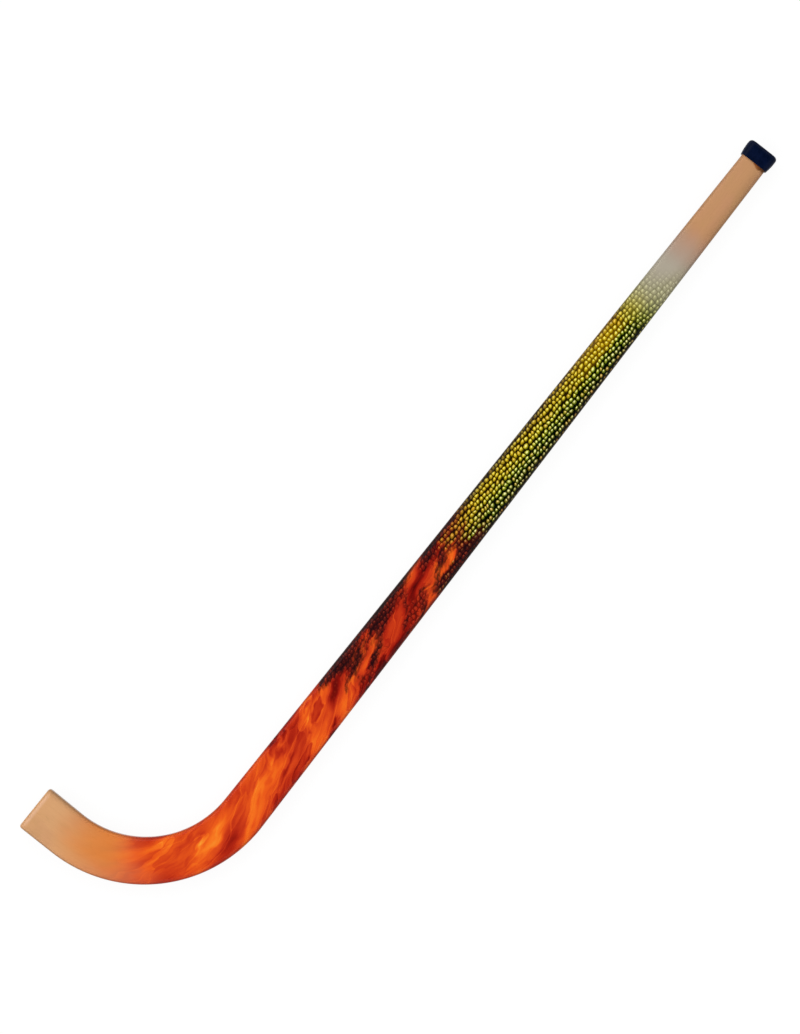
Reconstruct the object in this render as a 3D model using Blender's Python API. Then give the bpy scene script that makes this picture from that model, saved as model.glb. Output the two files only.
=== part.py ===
"""Laminated rink hockey stick, lying on its back with the shaft along X and the toe turned towards +Y.

The core is a pack of wood strips bent side by side round one form, so every strip follows the hook at its own
distance from the centreline. The outline tapers towards the butt, and cutting the pack to that taper brings the
outer strips to a feathered end one after another up the shaft. A thin laminate skin covers each flat face, and a
flared moulded cap closes the butt.
"""

import math

import bmesh
import bpy
from mathutils import Vector

MM = 0.001

# Centreline, from the butt's end round the hook to the toe's end
SHAFT_LENGTH = 832 * MM
BEND_RADIUS = 124 * MM
BEND_ANGLE = math.radians(90.7)
TOE_LENGTH = 41 * MM
BEND_LENGTH = BEND_RADIUS * BEND_ANGLE
STICK_LENGTH = SHAFT_LENGTH + BEND_LENGTH + TOE_LENGTH

# Width across the flat face, and the section
BUTT_WIDTH = 27.5 * MM
HEEL_WIDTH = 45.8 * MM
MID_BEND_WIDTH = 46.7 * MM
TOE_WIDTH = 48.5 * MM
HALF_THICKNESS = 9 * MM
EDGE_RADIUS = 5 * MM
TOE_CORNER_RADIUS = 3 * MM

# Bent strips: strip 1 lies along the inside of the hook and the last along the outside
STRIP_COUNT = 11
STRIP_PITCH = 4.45 * MM
GLUE_LINE = 0.3 * MM
FEATHERED_END = 0.3 * MM
CENTRE_STRIP = (STRIP_COUNT + 1) // 2
STRIPS_CLEAR_OF_EDGES = 1

# Laminate skins on the two flat faces
SKIN_THICKNESS = 0.8 * MM
SKIN_EDGE_THICKNESS = 0.25 * MM
CORE_HALF_THICKNESS = HALF_THICKNESS - SKIN_THICKNESS - GLUE_LINE

# Butt cap, measured from its open lip to its closed end
CAP_LENGTH = 17.7 * MM
CAP_END_WALL = 4.1 * MM
CAP_LIP_WALL = 1.3 * MM
CAP_FIT = 0.3 * MM
CAP_FLARE = 1.2 * MM
CAP_FLARE_LENGTH = 11 * MM
CAP_END_ROUNDING = 3.8 * MM
CAP_LIP_ROUNDING = 0.5 * MM
CAP_LIP_AT = CAP_LENGTH - CAP_END_WALL - CAP_FIT
CAP_SEAT_LENGTH = CAP_LIP_AT + CAP_FIT
CAP_SEAT_RELIEF = 0.15 * MM
CAP_HALF_THICKNESS = HALF_THICKNESS + CAP_FIT + CAP_LIP_WALL + CAP_FLARE

# Steps of the lofts
SHAFT_STEPS = 14
BEND_STEPS = 32
TOE_END_STEPS = 4
EDGE_STEPS = 4
SKIN_EDGE_STEPS = 2
CAP_CORNER_STEPS = 6
CAP_LIP_STEPS = 2
CAP_FLARE_STEPS = 4
CAP_ROUNDING_STEPS = 5

# Colours and roughness of the finished surfaces
ASH_COLOURS = ((0.60, 0.36, 0.18, 1), (0.52, 0.30, 0.14, 1))
PRINTED_COLOUR = (0.72, 0.19, 0.03, 1)
CAP_COLOUR = (0.002, 0.006, 0.027, 1)
LACQUER_ROUGHNESS = 0.35
CAP_ROUGHNESS = 0.55


def remove_all_objects():
    for old in list(bpy.data.objects):
        bpy.data.objects.remove(old)


def material(name, colour, roughness):
    made = bpy.data.materials.new(name)
    made.use_nodes = True
    shader = made.node_tree.nodes["Principled BSDF"]
    shader.inputs["Base Color"].default_value = colour
    shader.inputs["Roughness"].default_value = roughness
    shader.inputs["Metallic"].default_value = 0.0
    return made


def unplaced_centreline(along):
    """The centreline's point and its normal away from the hook's centre, with that centre at the origin."""
    turned = (along - SHAFT_LENGTH) / BEND_RADIUS
    angle = min(max(turned, 0.0), BEND_ANGLE)
    outward = Vector((-math.sin(angle), -math.cos(angle)))
    forward = Vector((-math.cos(angle), math.sin(angle)))
    straight = (turned - angle) * BEND_RADIUS
    return outward * BEND_RADIUS + forward * straight, outward


def half_width(along):
    """Half the stick's width, which tapers up the shaft and rounds off at the toe's two corners."""
    knots = (
        (0.0, BUTT_WIDTH),
        (SHAFT_LENGTH, HEEL_WIDTH),
        (SHAFT_LENGTH + BEND_LENGTH / 2, MID_BEND_WIDTH),
        (STICK_LENGTH, TOE_WIDTH),
    )
    width = TOE_WIDTH
    for (start, first), (end, last) in zip(knots, knots[1:]):
        if along <= end:
            width = first + (last - first) * (along - start) / (end - start)
            break
    corner = max(0.0, TOE_CORNER_RADIUS - (STICK_LENGTH - along))
    rounded_off = TOE_CORNER_RADIUS - math.sqrt(TOE_CORNER_RADIUS**2 - corner**2)
    return width / 2 - rounded_off


def frame_centre():
    """The middle of the stick's extents, which is put at the row's origin."""
    samples = 2000
    points = [Vector(unplaced_centreline(CAP_LIP_AT - CAP_LENGTH)[0])]
    for step in range(samples + 1):
        along = STICK_LENGTH * step / samples
        point, outward = unplaced_centreline(along)
        points += [point + outward * half_width(along), point - outward * half_width(along)]
    lows = [min(p[axis] for p in points) for axis in (0, 1)]
    highs = [max(p[axis] for p in points) for axis in (0, 1)]
    return Vector(((lows[0] + highs[0]) / 2, (lows[1] + highs[1]) / 2))


FRAME_CENTRE = frame_centre()


def place(along, across, up):
    """The row-frame point at a distance along the centreline, across it towards the outside, and above mid-plane."""
    point, outward = unplaced_centreline(along)
    flat = point + outward * across - FRAME_CENTRE
    return Vector((flat.x, flat.y, up + CAP_HALF_THICKNESS))


def half_height(along, across):
    """Half the stick's thickness at a point: rounded towards the edges and the toe's end, and sanded down
    towards the butt's end where the cap sits.
    """
    seat = CAP_SEAT_RELIEF * max(0.0, 1 - along / CAP_SEAT_LENGTH)
    from_side = max(0.0, EDGE_RADIUS - (half_width(along) - abs(across)))
    from_end = max(0.0, EDGE_RADIUS - (STICK_LENGTH - along))
    run = min(EDGE_RADIUS, math.hypot(from_side, from_end))
    return HALF_THICKNESS - seat - EDGE_RADIUS + math.sqrt(EDGE_RADIUS**2 - run**2)


def quarter_turn(steps):
    """Angles from 0 to 90 degrees."""
    return [math.pi / 2 * step / steps for step in range(steps + 1)]


def body_stations():
    """Distances along the centreline from the butt to where the toe's end starts to round over."""
    shaft = [0.0, CAP_SEAT_LENGTH] + [SHAFT_LENGTH * step / SHAFT_STEPS for step in range(1, SHAFT_STEPS)]
    bend = [SHAFT_LENGTH + BEND_LENGTH * step / BEND_STEPS for step in range(BEND_STEPS + 1)]
    return shaft + bend


def new_object(name, mesh_maker, surface):
    """A named object from a bmesh, with outward faces and sharp creases kept."""
    mesh = bpy.data.meshes.new(name)
    bmesh.ops.recalc_face_normals(mesh_maker, faces=mesh_maker.faces)
    mesh_maker.to_mesh(mesh)
    mesh_maker.free()
    mesh.materials.append(surface)
    mesh.shade_smooth()
    mesh.set_sharp_from_angle(angle=math.radians(30))
    made = bpy.data.objects.new(name, mesh)
    bpy.context.scene.collection.objects.link(made)
    return made


def loft(name, rings, surface):
    """A closed solid through rings of equally many points, with its first and last ring capped."""
    maker = bmesh.new()
    loops = [[maker.verts.new(point) for point in ring] for ring in rings]
    for lower, upper in zip(loops, loops[1:]):
        count = len(lower)
        for index in range(count):
            following = (index + 1) % count
            maker.faces.new((lower[index], lower[following], upper[following], upper[index]))
    maker.faces.new(loops[0])
    maker.faces.new(loops[-1])
    return new_object(name, maker, surface)


def strip_span(number, along):
    """The strip's inner and outer limits across the stick, cut to the stick's outline there."""
    middle = (number - CENTRE_STRIP) * STRIP_PITCH
    reach = (STRIP_PITCH - GLUE_LINE) / 2
    edge = half_width(along)
    return max(middle - reach, -edge), min(middle + reach, edge)


def feathered_end(number):
    """Where the taper of the shaft has cut the strip down to its feathered end, or the butt if it never does."""
    offset = abs(number - CENTRE_STRIP) * STRIP_PITCH
    width_left = 2 * (offset - (STRIP_PITCH - GLUE_LINE) / 2 + FEATHERED_END)
    taper = (HEEL_WIDTH - BUTT_WIDTH) / SHAFT_LENGTH
    return max(0.0, (width_left - BUTT_WIDTH) / taper)


def strip_section(number, along):
    """The strip's outline at one station: flat between the skins, and rounded where it reaches the edge."""
    low, high = strip_span(number, along)
    steps = EDGE_STEPS if abs(number - CENTRE_STRIP) > STRIPS_CLEAR_OF_EDGES else 1
    shares = [math.sin(angle) for angle in quarter_turn(steps)]
    across = [low + (high - low) * share for share in shares]
    if number < CENTRE_STRIP:
        across = [high + (low - high) * share for share in shares]
    heights = [min(CORE_HALF_THICKNESS, half_height(along, n)) for n in across]
    top = [place(along, n, height) for n, height in zip(across, heights)]
    underside = [place(along, n, -height) for n, height in zip(across, heights)]
    return top + underside[::-1]


def wood_strip(number):
    ash = material(f"lacquered ash {number}", ASH_COLOURS[number % 2], LACQUER_ROUGHNESS)
    start = feathered_end(number)
    toe_end = [STICK_LENGTH - EDGE_RADIUS * (1 - math.sin(a)) for a in quarter_turn(TOE_END_STEPS)]
    stations = [start] + [s for s in body_stations() if s > start + FEATHERED_END] + toe_end
    rings = [strip_section(number, along) for along in stations]
    return loft(f"lamella_{number:02d}", rings, ash)


def skin_section(along, side):
    """A face skin's outline at one station, feathered down over the rounded edges."""
    drop = SKIN_THICKNESS - SKIN_EDGE_THICKNESS
    full_reach = math.sqrt(EDGE_RADIUS**2 - (EDGE_RADIUS - drop) ** 2)
    from_end = max(0.0, EDGE_RADIUS - (STICK_LENGTH - along))
    reach = math.sqrt(full_reach**2 - from_end**2)
    flat = half_width(along) - EDGE_RADIUS
    half = [flat + reach * step / SKIN_EDGE_STEPS for step in range(SKIN_EDGE_STEPS + 1)]
    across = [-n for n in reversed(half)] + half
    outside = [place(along, n, side * half_height(along, n)) for n in across]
    inner_height = side * (HALF_THICKNESS - SKIN_THICKNESS)
    inside = [place(along, n, inner_height) for n in (across[-1], across[0])]
    return outside + inside


def face_skin(name, side):
    printed = material(name.replace("_", " ") + " print", PRINTED_COLOUR, LACQUER_ROUGHNESS)
    drop = SKIN_THICKNESS - SKIN_EDGE_THICKNESS
    full_reach = math.sqrt(EDGE_RADIUS**2 - (EDGE_RADIUS - drop) ** 2)
    rounding_starts = STICK_LENGTH - EDGE_RADIUS
    last_turn = math.radians(80)
    toe_end = [rounding_starts + full_reach * math.sin(last_turn * step / 3) for step in range(4)]
    rings = [skin_section(along, side) for along in body_stations() + toe_end]
    return loft(name, rings, printed)


def rounded_rectangle(along, half_across, half_up, radius):
    """A ring round the shaft's axis, with the corner arcs' points evenly turned."""
    points = []
    for corner, (side, rise) in enumerate(((1, 1), (-1, 1), (-1, -1), (1, -1))):
        for angle in quarter_turn(CAP_CORNER_STEPS):
            turned = angle + corner * math.pi / 2
            across = side * (half_across - radius) + radius * math.cos(turned)
            up = rise * (half_up - radius) + radius * math.sin(turned)
            points.append(place(along, across, up))
    return points


def butt_cap():
    """A flared socket over the shaft's end: from its floor out to the lip, then up the outside to the closed end."""
    moulding = material("navy moulding", CAP_COLOUR, CAP_ROUGHNESS)
    socket_radius = EDGE_RADIUS + CAP_FIT
    closed_end = CAP_LIP_AT - CAP_LENGTH

    def outer_ring(along, growth):
        """The outside, grown from its size at the lip."""
        wall = CAP_LIP_WALL + growth
        lip_across = half_width(CAP_LIP_AT) + CAP_FIT
        return rounded_rectangle(along, lip_across + wall, HALF_THICKNESS + CAP_FIT + wall, socket_radius + wall)

    rings = [
        rounded_rectangle(along, half_width(along) + CAP_FIT, HALF_THICKNESS + CAP_FIT, socket_radius)
        for along in (-CAP_FIT, CAP_LIP_AT)
    ]
    for angle in quarter_turn(CAP_LIP_STEPS):
        along = CAP_LIP_AT - CAP_LIP_ROUNDING * (1 - math.cos(angle))
        rings.append(outer_ring(along, CAP_LIP_ROUNDING * (math.sin(angle) - 1)))
    flare_run = CAP_FLARE_LENGTH - CAP_LIP_ROUNDING
    for step, angle in enumerate(quarter_turn(CAP_FLARE_STEPS)[1:], start=1):
        along = CAP_LIP_AT - CAP_LIP_ROUNDING - flare_run * step / CAP_FLARE_STEPS
        rings.append(outer_ring(along, CAP_FLARE * math.sin(angle)))
    for angle in quarter_turn(CAP_ROUNDING_STEPS):
        along = closed_end + CAP_END_ROUNDING * (1 - math.sin(angle))
        rings.append(outer_ring(along, CAP_FLARE - CAP_END_ROUNDING * (1 - math.cos(angle))))
    return loft("butt_cap", rings, moulding)


def main():
    remove_all_objects()
    for number in range(1, STRIP_COUNT + 1):
        wood_strip(number)
    face_skin("front_skin", 1)
    face_skin("back_skin", -1)
    butt_cap()


main()
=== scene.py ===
import math

import bmesh
import bpy
from mathutils import Matrix, Vector


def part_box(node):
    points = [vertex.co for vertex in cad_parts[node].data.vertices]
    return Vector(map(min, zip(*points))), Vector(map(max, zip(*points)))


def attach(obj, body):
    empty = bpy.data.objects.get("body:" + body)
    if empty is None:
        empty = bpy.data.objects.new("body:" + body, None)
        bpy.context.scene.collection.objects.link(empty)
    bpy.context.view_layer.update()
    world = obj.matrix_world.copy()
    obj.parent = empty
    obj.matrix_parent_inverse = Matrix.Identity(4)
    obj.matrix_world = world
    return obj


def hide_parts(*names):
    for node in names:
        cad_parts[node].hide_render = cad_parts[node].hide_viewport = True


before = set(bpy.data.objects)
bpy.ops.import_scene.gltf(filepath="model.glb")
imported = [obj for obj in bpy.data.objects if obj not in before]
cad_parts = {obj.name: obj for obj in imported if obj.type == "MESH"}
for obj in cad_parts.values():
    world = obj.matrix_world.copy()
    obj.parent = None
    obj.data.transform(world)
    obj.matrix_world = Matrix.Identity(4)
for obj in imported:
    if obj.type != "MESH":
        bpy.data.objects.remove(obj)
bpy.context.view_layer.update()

MM = 0.001

# Centreline and section of the stick, as in its construction
SHAFT_LENGTH = 832 * MM
BEND_RADIUS = 124 * MM
BEND_ANGLE = math.radians(90.7)
TOE_LENGTH = 41 * MM
BEND_LENGTH = BEND_RADIUS * BEND_ANGLE
STICK_LENGTH = SHAFT_LENGTH + BEND_LENGTH + TOE_LENGTH
BUTT_WIDTH = 27.5 * MM
HEEL_WIDTH = 45.8 * MM
MID_BEND_WIDTH = 46.7 * MM
TOE_WIDTH = 48.5 * MM
EDGE_RADIUS = 5 * MM
STRIP_PITCH = 4.45 * MM

# The print and lacquer stand this far proud of the solids, and the cap's socket clears them
FILM = 0.1 * MM

# Where the frame puts the stick
CAP_LOW, CAP_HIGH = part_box("butt_cap")
BUTT_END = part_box("lamella_06")[1].x
SHAFT_AXIS = (CAP_LOW.y + CAP_HIGH.y) / 2
MID_HEIGHT = (CAP_LOW.z + CAP_HIGH.z) / 2
HALF_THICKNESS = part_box("front_skin")[1].z - MID_HEIGHT
HOOK_CENTRE = Vector((BUTT_END - SHAFT_LENGTH, SHAFT_AXIS + BEND_RADIUS))

# Cap, measured from its open lip
CAP_LENGTH = CAP_HIGH.x - CAP_LOW.x
CAP_LIP_AT = BUTT_END - CAP_LOW.x
CAP_FIT = 0.3 * MM
CAP_LIP_WALL = 1.3 * MM
CAP_FLARE = 1.2 * MM
CAP_FLARE_LENGTH = 11 * MM
CAP_END_ROUNDING = 3.8 * MM
CAP_LIP_ROUNDING = 0.5 * MM

# Photograph: its scale, its size, and the pixel of a point on the shaft's centreline
MM_PER_PIXEL = 0.99
PHOTO_WIDTH, PHOTO_HEIGHT = 800, 1034
ANCHOR_PIXEL = (745.1, 173.7)
ANCHOR_ALONG = 27.2 * MM
SHAFT_HEADING = math.radians(128.11)
CAMERA_DISTANCE = 5.0
CAMERA_REACH = 50.0

# Edges that bend by more than this are shaded sharp
SHARP_FROM = math.radians(40)

# Coat: its steps across half a face, round an edge, along each length and over the toe's end
FACE_STEPS = 5
EDGE_STEPS = 8
SHAFT_STEPS = 104
BEND_STEPS = 90
TOE_STEPS = 5
END_STEPS = 10

# Coat: its corners at the toe's end, where 2 would be round and more is squarer
CORNER_SQUARENESS = 3.8
MERGE_WITHIN = 0.001 * MM

# Layout of the coat's texture: a square of cells for lengths of the stick, the last one for its two ends
LAYOUT_SIDE = 3
LAYOUT_LENGTHS = LAYOUT_SIDE**2 - 1
LAYOUT_MARGIN = 0.02
TOE_END_ROW, BUTT_END_ROW = 0.2, 0.7


# Geometry

def half_width(along):
    """Half the stick's width at a distance along its centreline."""
    knots = (
        (0.0, BUTT_WIDTH),
        (SHAFT_LENGTH, HEEL_WIDTH),
        (SHAFT_LENGTH + BEND_LENGTH / 2, MID_BEND_WIDTH),
        (STICK_LENGTH, TOE_WIDTH),
    )
    for (start, first), (end, last) in zip(knots, knots[1:]):
        if along <= end:
            return (first + (last - first) * (along - start) / (end - start)) / 2
    return TOE_WIDTH / 2


def place(along, across, up):
    """The point at a distance along the centreline, across it to the outside, and above mid-plane."""
    turned = (along - SHAFT_LENGTH) / BEND_RADIUS
    angle = min(max(turned, 0.0), BEND_ANGLE)
    outward = Vector((-math.sin(angle), -math.cos(angle)))
    forward = Vector((-math.cos(angle), math.sin(angle)))
    flat = HOOK_CENTRE + outward * (BEND_RADIUS + across) + forward * (turned - angle) * BEND_RADIUS
    return Vector((flat.x, flat.y, MID_HEIGHT + up))


def spread(first, last, steps):
    """Evenly spaced values from first to last."""
    return [first + (last - first) * step / steps for step in range(steps + 1)]


def bridge(maker, lower, upper):
    """A band of faces between two rings of points, as a list."""
    count = len(lower)
    faces = []
    for index in range(count):
        following = (index + 1) % count
        corners = (lower[index], lower[following], upper[following], upper[index])
        faces.append(maker.faces.new(corners))
    return faces


def new_piece(name, maker, material, slot, *replaced):
    """A smooth-shaded piece on the stick's one body, from a bmesh."""
    mesh = bpy.data.meshes.new(name)
    bmesh.ops.recalc_face_normals(maker, faces=maker.faces)
    maker.to_mesh(mesh)
    maker.free()
    mesh.materials.append(material)
    mesh.shade_smooth()
    mesh.set_sharp_from_angle(angle=SHARP_FROM)
    piece = bpy.data.objects.new(name, mesh)
    bpy.context.scene.collection.objects.link(piece)
    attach(piece, "root")
    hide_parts(*replaced)


# Coat

def coat_section(along, turn):
    """One ring of the coat, as each point's place across and up and its arc length from the face's middle.
    It runs from the middle of the front over the outer side to the back, and returns over the inner side.
    turn is how far the ring has gone over the toe's end, in radians.
    """
    power = CORNER_SQUARENESS
    radius = EDGE_RADIUS + FILM
    flat = half_width(along) - EDGE_RADIUS
    side = HALF_THICKNESS - EDGE_RADIUS
    over_end = radius * math.sin(turn)
    reach = (radius**power - over_end**power) ** (1 / power)
    half = [(flat * share, 0.0, flat * share) for share in spread(0, 1, FACE_STEPS)]
    for angle in spread(0, math.pi / 2, EDGE_STEPS)[1:]:
        from_flat = reach * math.sin(angle)
        half.append((flat + from_flat, from_flat, flat + radius * angle))
    front = []
    for across, from_flat, arc in half:
        run = (from_flat**power + over_end**power) ** (1 / power)
        front.append((across, side + math.sqrt(max(0.0, radius**2 - run**2)), arc))
    across, _, arc = front[-1]
    front += [(across, side / 2, arc + side / 2), (across, 0.0, arc + side)]
    outer = front + [(across, -up, arc) for across, up, arc in reversed(front[:-1])]
    inner = [(-across, up, -arc) for across, up, arc in outer[1:-1]]
    return outer + inner[::-1]


def coat_stations():
    """Each ring's distance along, its turn over the end, and its arc length along, from butt to toe."""
    toe_start = SHAFT_LENGTH + BEND_LENGTH
    end_start = STICK_LENGTH - EDGE_RADIUS
    straight = [-FILM] + spread(0, SHAFT_LENGTH, SHAFT_STEPS)
    bend = spread(SHAFT_LENGTH, toe_start, BEND_STEPS)[1:]
    toe = spread(toe_start, end_start, TOE_STEPS)[1:]
    stations = [(along, 0.0, along) for along in straight + bend + toe]
    radius = EDGE_RADIUS + FILM
    for turn in spread(0, math.pi / 2, END_STEPS)[1:]:
        stations.append((end_start + radius * math.sin(turn), turn, end_start + radius * turn))
    return stations


def layout_at(cell, along, across):
    """The place in the layout of a point whose coordinates in its cell go from 0 to 1."""
    row, column = divmod(cell, LAYOUT_SIDE)
    inner = 1 - 2 * LAYOUT_MARGIN
    x = column + LAYOUT_MARGIN + inner * along
    y = row + LAYOUT_MARGIN + inner * across
    return Vector((x, y)) / LAYOUT_SIDE


def shares_round(section):
    """How far round a ring each of its points is, from 0 to 1, with the first point again at the end."""
    points = [Vector((across, up)) for across, up, _ in section]
    lengths = [0.0]
    for first, second in zip(points, points[1:] + points[:1]):
        lengths.append(lengths[-1] + (second - first).length)
    return [length / lengths[-1] for length in lengths]


def lay_out_end(maker, face, row):
    """Maps a flat end of the stick into the layout's last cell."""
    wood_at = maker.verts.layers.float_vector["wood_mm"]
    layout = maker.loops.layers.uv.active
    for loop in face.loops:
        _, across, up = loop.vert[wood_at] * MM / TOE_WIDTH
        loop[layout].uv = layout_at(LAYOUT_LENGTHS, 0.5 + across, row + up)


def coat_mesh():
    """The outer surface of print and lacquer. Its points keep their flattened coordinates, in millimetres."""
    maker = bmesh.new()
    print_at = maker.verts.layers.float_vector.new("print_mm")
    wood_at = maker.verts.layers.float_vector.new("wood_mm")
    share_at = maker.verts.layers.float.new("across_share")
    layout = maker.loops.layers.uv.new("OFBake")

    def corner(along, arc_along, across, up, arc):
        vert = maker.verts.new(place(along, across, up))
        vert[print_at] = Vector((arc_along, arc, up)) / MM
        vert[wood_at] = Vector((arc_along, across, up)) / MM
        vert[share_at] = arc / half_width(along)
        return vert

    rings = []
    for along, turn, arc_along in coat_stations():
        section = coat_section(along, turn)
        ring = [corner(along, arc_along, across, up, arc) for across, up, arc in section]
        rings.append((ring, arc_along, shares_round(section)))
    cell_length = arc_along / LAYOUT_LENGTHS
    cell_reach = cell_length + SHAFT_LENGTH / SHAFT_STEPS
    for (lower, begin, low_shares), (upper, end, high_shares) in zip(rings, rings[1:]):
        cell = int(begin / cell_length)
        low, high = [(arc - cell * cell_length) / cell_reach for arc in (begin, end)]
        for index, face in enumerate(bridge(maker, lower, upper)):
            places = (
                (low, low_shares[index]),
                (low, low_shares[index + 1]),
                (high, high_shares[index + 1]),
                (high, high_shares[index]),
            )
            for loop, (x, y) in zip(face.loops, places):
                loop[layout].uv = layout_at(cell, x, y)
    lay_out_end(maker, maker.faces.new(rings[0][0]), BUTT_END_ROW)
    close_toe_end(maker, ring, corner)
    return maker


def close_toe_end(maker, ring, corner):
    """The flat end of the toe, with a row of points along its middle, so that its grain is mapped too."""
    along, turn, arc_along = coat_stations()[-1]
    side = HALF_THICKNESS - EDGE_RADIUS
    outer_middle = FACE_STEPS + EDGE_STEPS + 2
    inner_middle = len(ring) - outer_middle
    first_column = inner_middle + 2 + EDGE_STEPS
    section = coat_section(along, turn)
    columns = [(first_column + step) % len(ring) for step in range(2 * FACE_STEPS + 1)]
    top = [ring[index] for index in columns]
    under = [ring[(2 * inner_middle - index) % len(ring)] for index in columns]
    middle = [ring[inner_middle]]
    for index in columns[1:-1]:
        across, _, arc = section[index]
        middle.append(corner(along, arc_along + side, across, 0.0, arc))
    middle.append(ring[outer_middle])
    for upper, lower, quarter in ((top, middle, 1), (middle, under, -1)):
        rows = list(zip(upper, upper[1:], lower[1:], lower))
        first, second, third, fourth = rows[-1]
        rows[0] = (*rows[0], ring[inner_middle + quarter])
        rows[-1] = (first, second, ring[outer_middle - quarter], third, fourth)
        for corners in rows:
            lay_out_end(maker, maker.faces.new(corners), TOE_END_ROW)
    bmesh.ops.remove_doubles(maker, verts=maker.verts, dist=MERGE_WITHIN)


# Moulded cap

CAP_CORNER_STEPS = 10
CAP_FLARE_STEPS = 6
CAP_ROUNDING_STEPS = 8
CAP_CORNERS = ((1, 1), (-1, 1), (-1, -1), (1, -1))


def cap_ring(maker, along, half_across, half_up, radius):
    """A rounded rectangle of points round the shaft's axis."""
    ring = []
    for corner, (side, rise) in enumerate(CAP_CORNERS):
        for angle in spread(0, math.pi / 2, CAP_CORNER_STEPS):
            turned = angle + corner * math.pi / 2
            across = side * (half_across - radius) + radius * math.cos(turned)
            up = rise * (half_up - radius) + radius * math.sin(turned)
            ring.append(maker.verts.new(place(along, across, up)))
    return ring


def cap_mesh():
    """A flared socket: from its floor to the lip inside, then outside over the flare to its rounded end."""
    maker = bmesh.new()
    lip_across = half_width(CAP_LIP_AT) + CAP_FIT + CAP_LIP_WALL
    lip_up = HALF_THICKNESS + CAP_FIT + CAP_LIP_WALL
    lip_radius = EDGE_RADIUS + CAP_FIT + CAP_LIP_WALL
    lip_starts = CAP_LIP_AT - CAP_LIP_ROUNDING
    closed_end = CAP_LIP_AT - CAP_LENGTH
    socket_up = HALF_THICKNESS + CAP_FIT
    socket_radius = EDGE_RADIUS + CAP_FIT

    rings = []
    for along in (-CAP_FIT, lip_starts):
        socket_across = half_width(along) + CAP_FIT
        rings.append(cap_ring(maker, along, socket_across, socket_up, socket_radius))
    outside = []
    half_wall = CAP_LIP_WALL / 2
    for angle in spread(0, math.pi, 2 * CAP_ROUNDING_STEPS)[1:]:
        grown = -half_wall - half_wall * math.cos(angle)
        outside.append((lip_starts + CAP_LIP_ROUNDING * math.sin(angle), grown))
    for share in spread(0, 1, CAP_FLARE_STEPS)[1:]:
        along = lip_starts - (CAP_FLARE_LENGTH - CAP_LIP_ROUNDING) * share
        outside.append((along, CAP_FLARE * math.sin(share * math.pi / 2)))
    for angle in spread(0, math.pi / 2, CAP_ROUNDING_STEPS):
        grown = CAP_FLARE - CAP_END_ROUNDING * (1 - math.cos(angle))
        outside.append((closed_end + CAP_END_ROUNDING * (1 - math.sin(angle)), grown))
    for along, grown in outside:
        sizes = (lip_across + grown, lip_up + grown, lip_radius + grown)
        rings.append(cap_ring(maker, along, *sizes))

    for lower, upper in zip(rings, rings[1:]):
        bridge(maker, lower, upper)
    maker.faces.new(rings[0])
    maker.faces.new(rings[-1])
    return maker


# Node graphs

MIDDLE_OF_NOISE = (0.5, 0.5, 0.5)


def linear(colour):
    """An sRGB colour of 0 to 255 per channel, as the linear one that the shader wants."""
    channels = []
    for value in colour:
        c = value / 255
        channels.append(c / 12.92 if c <= 0.04045 else ((c + 0.055) / 1.055) ** 2.4)
    return (*channels, 1.0)


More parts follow.
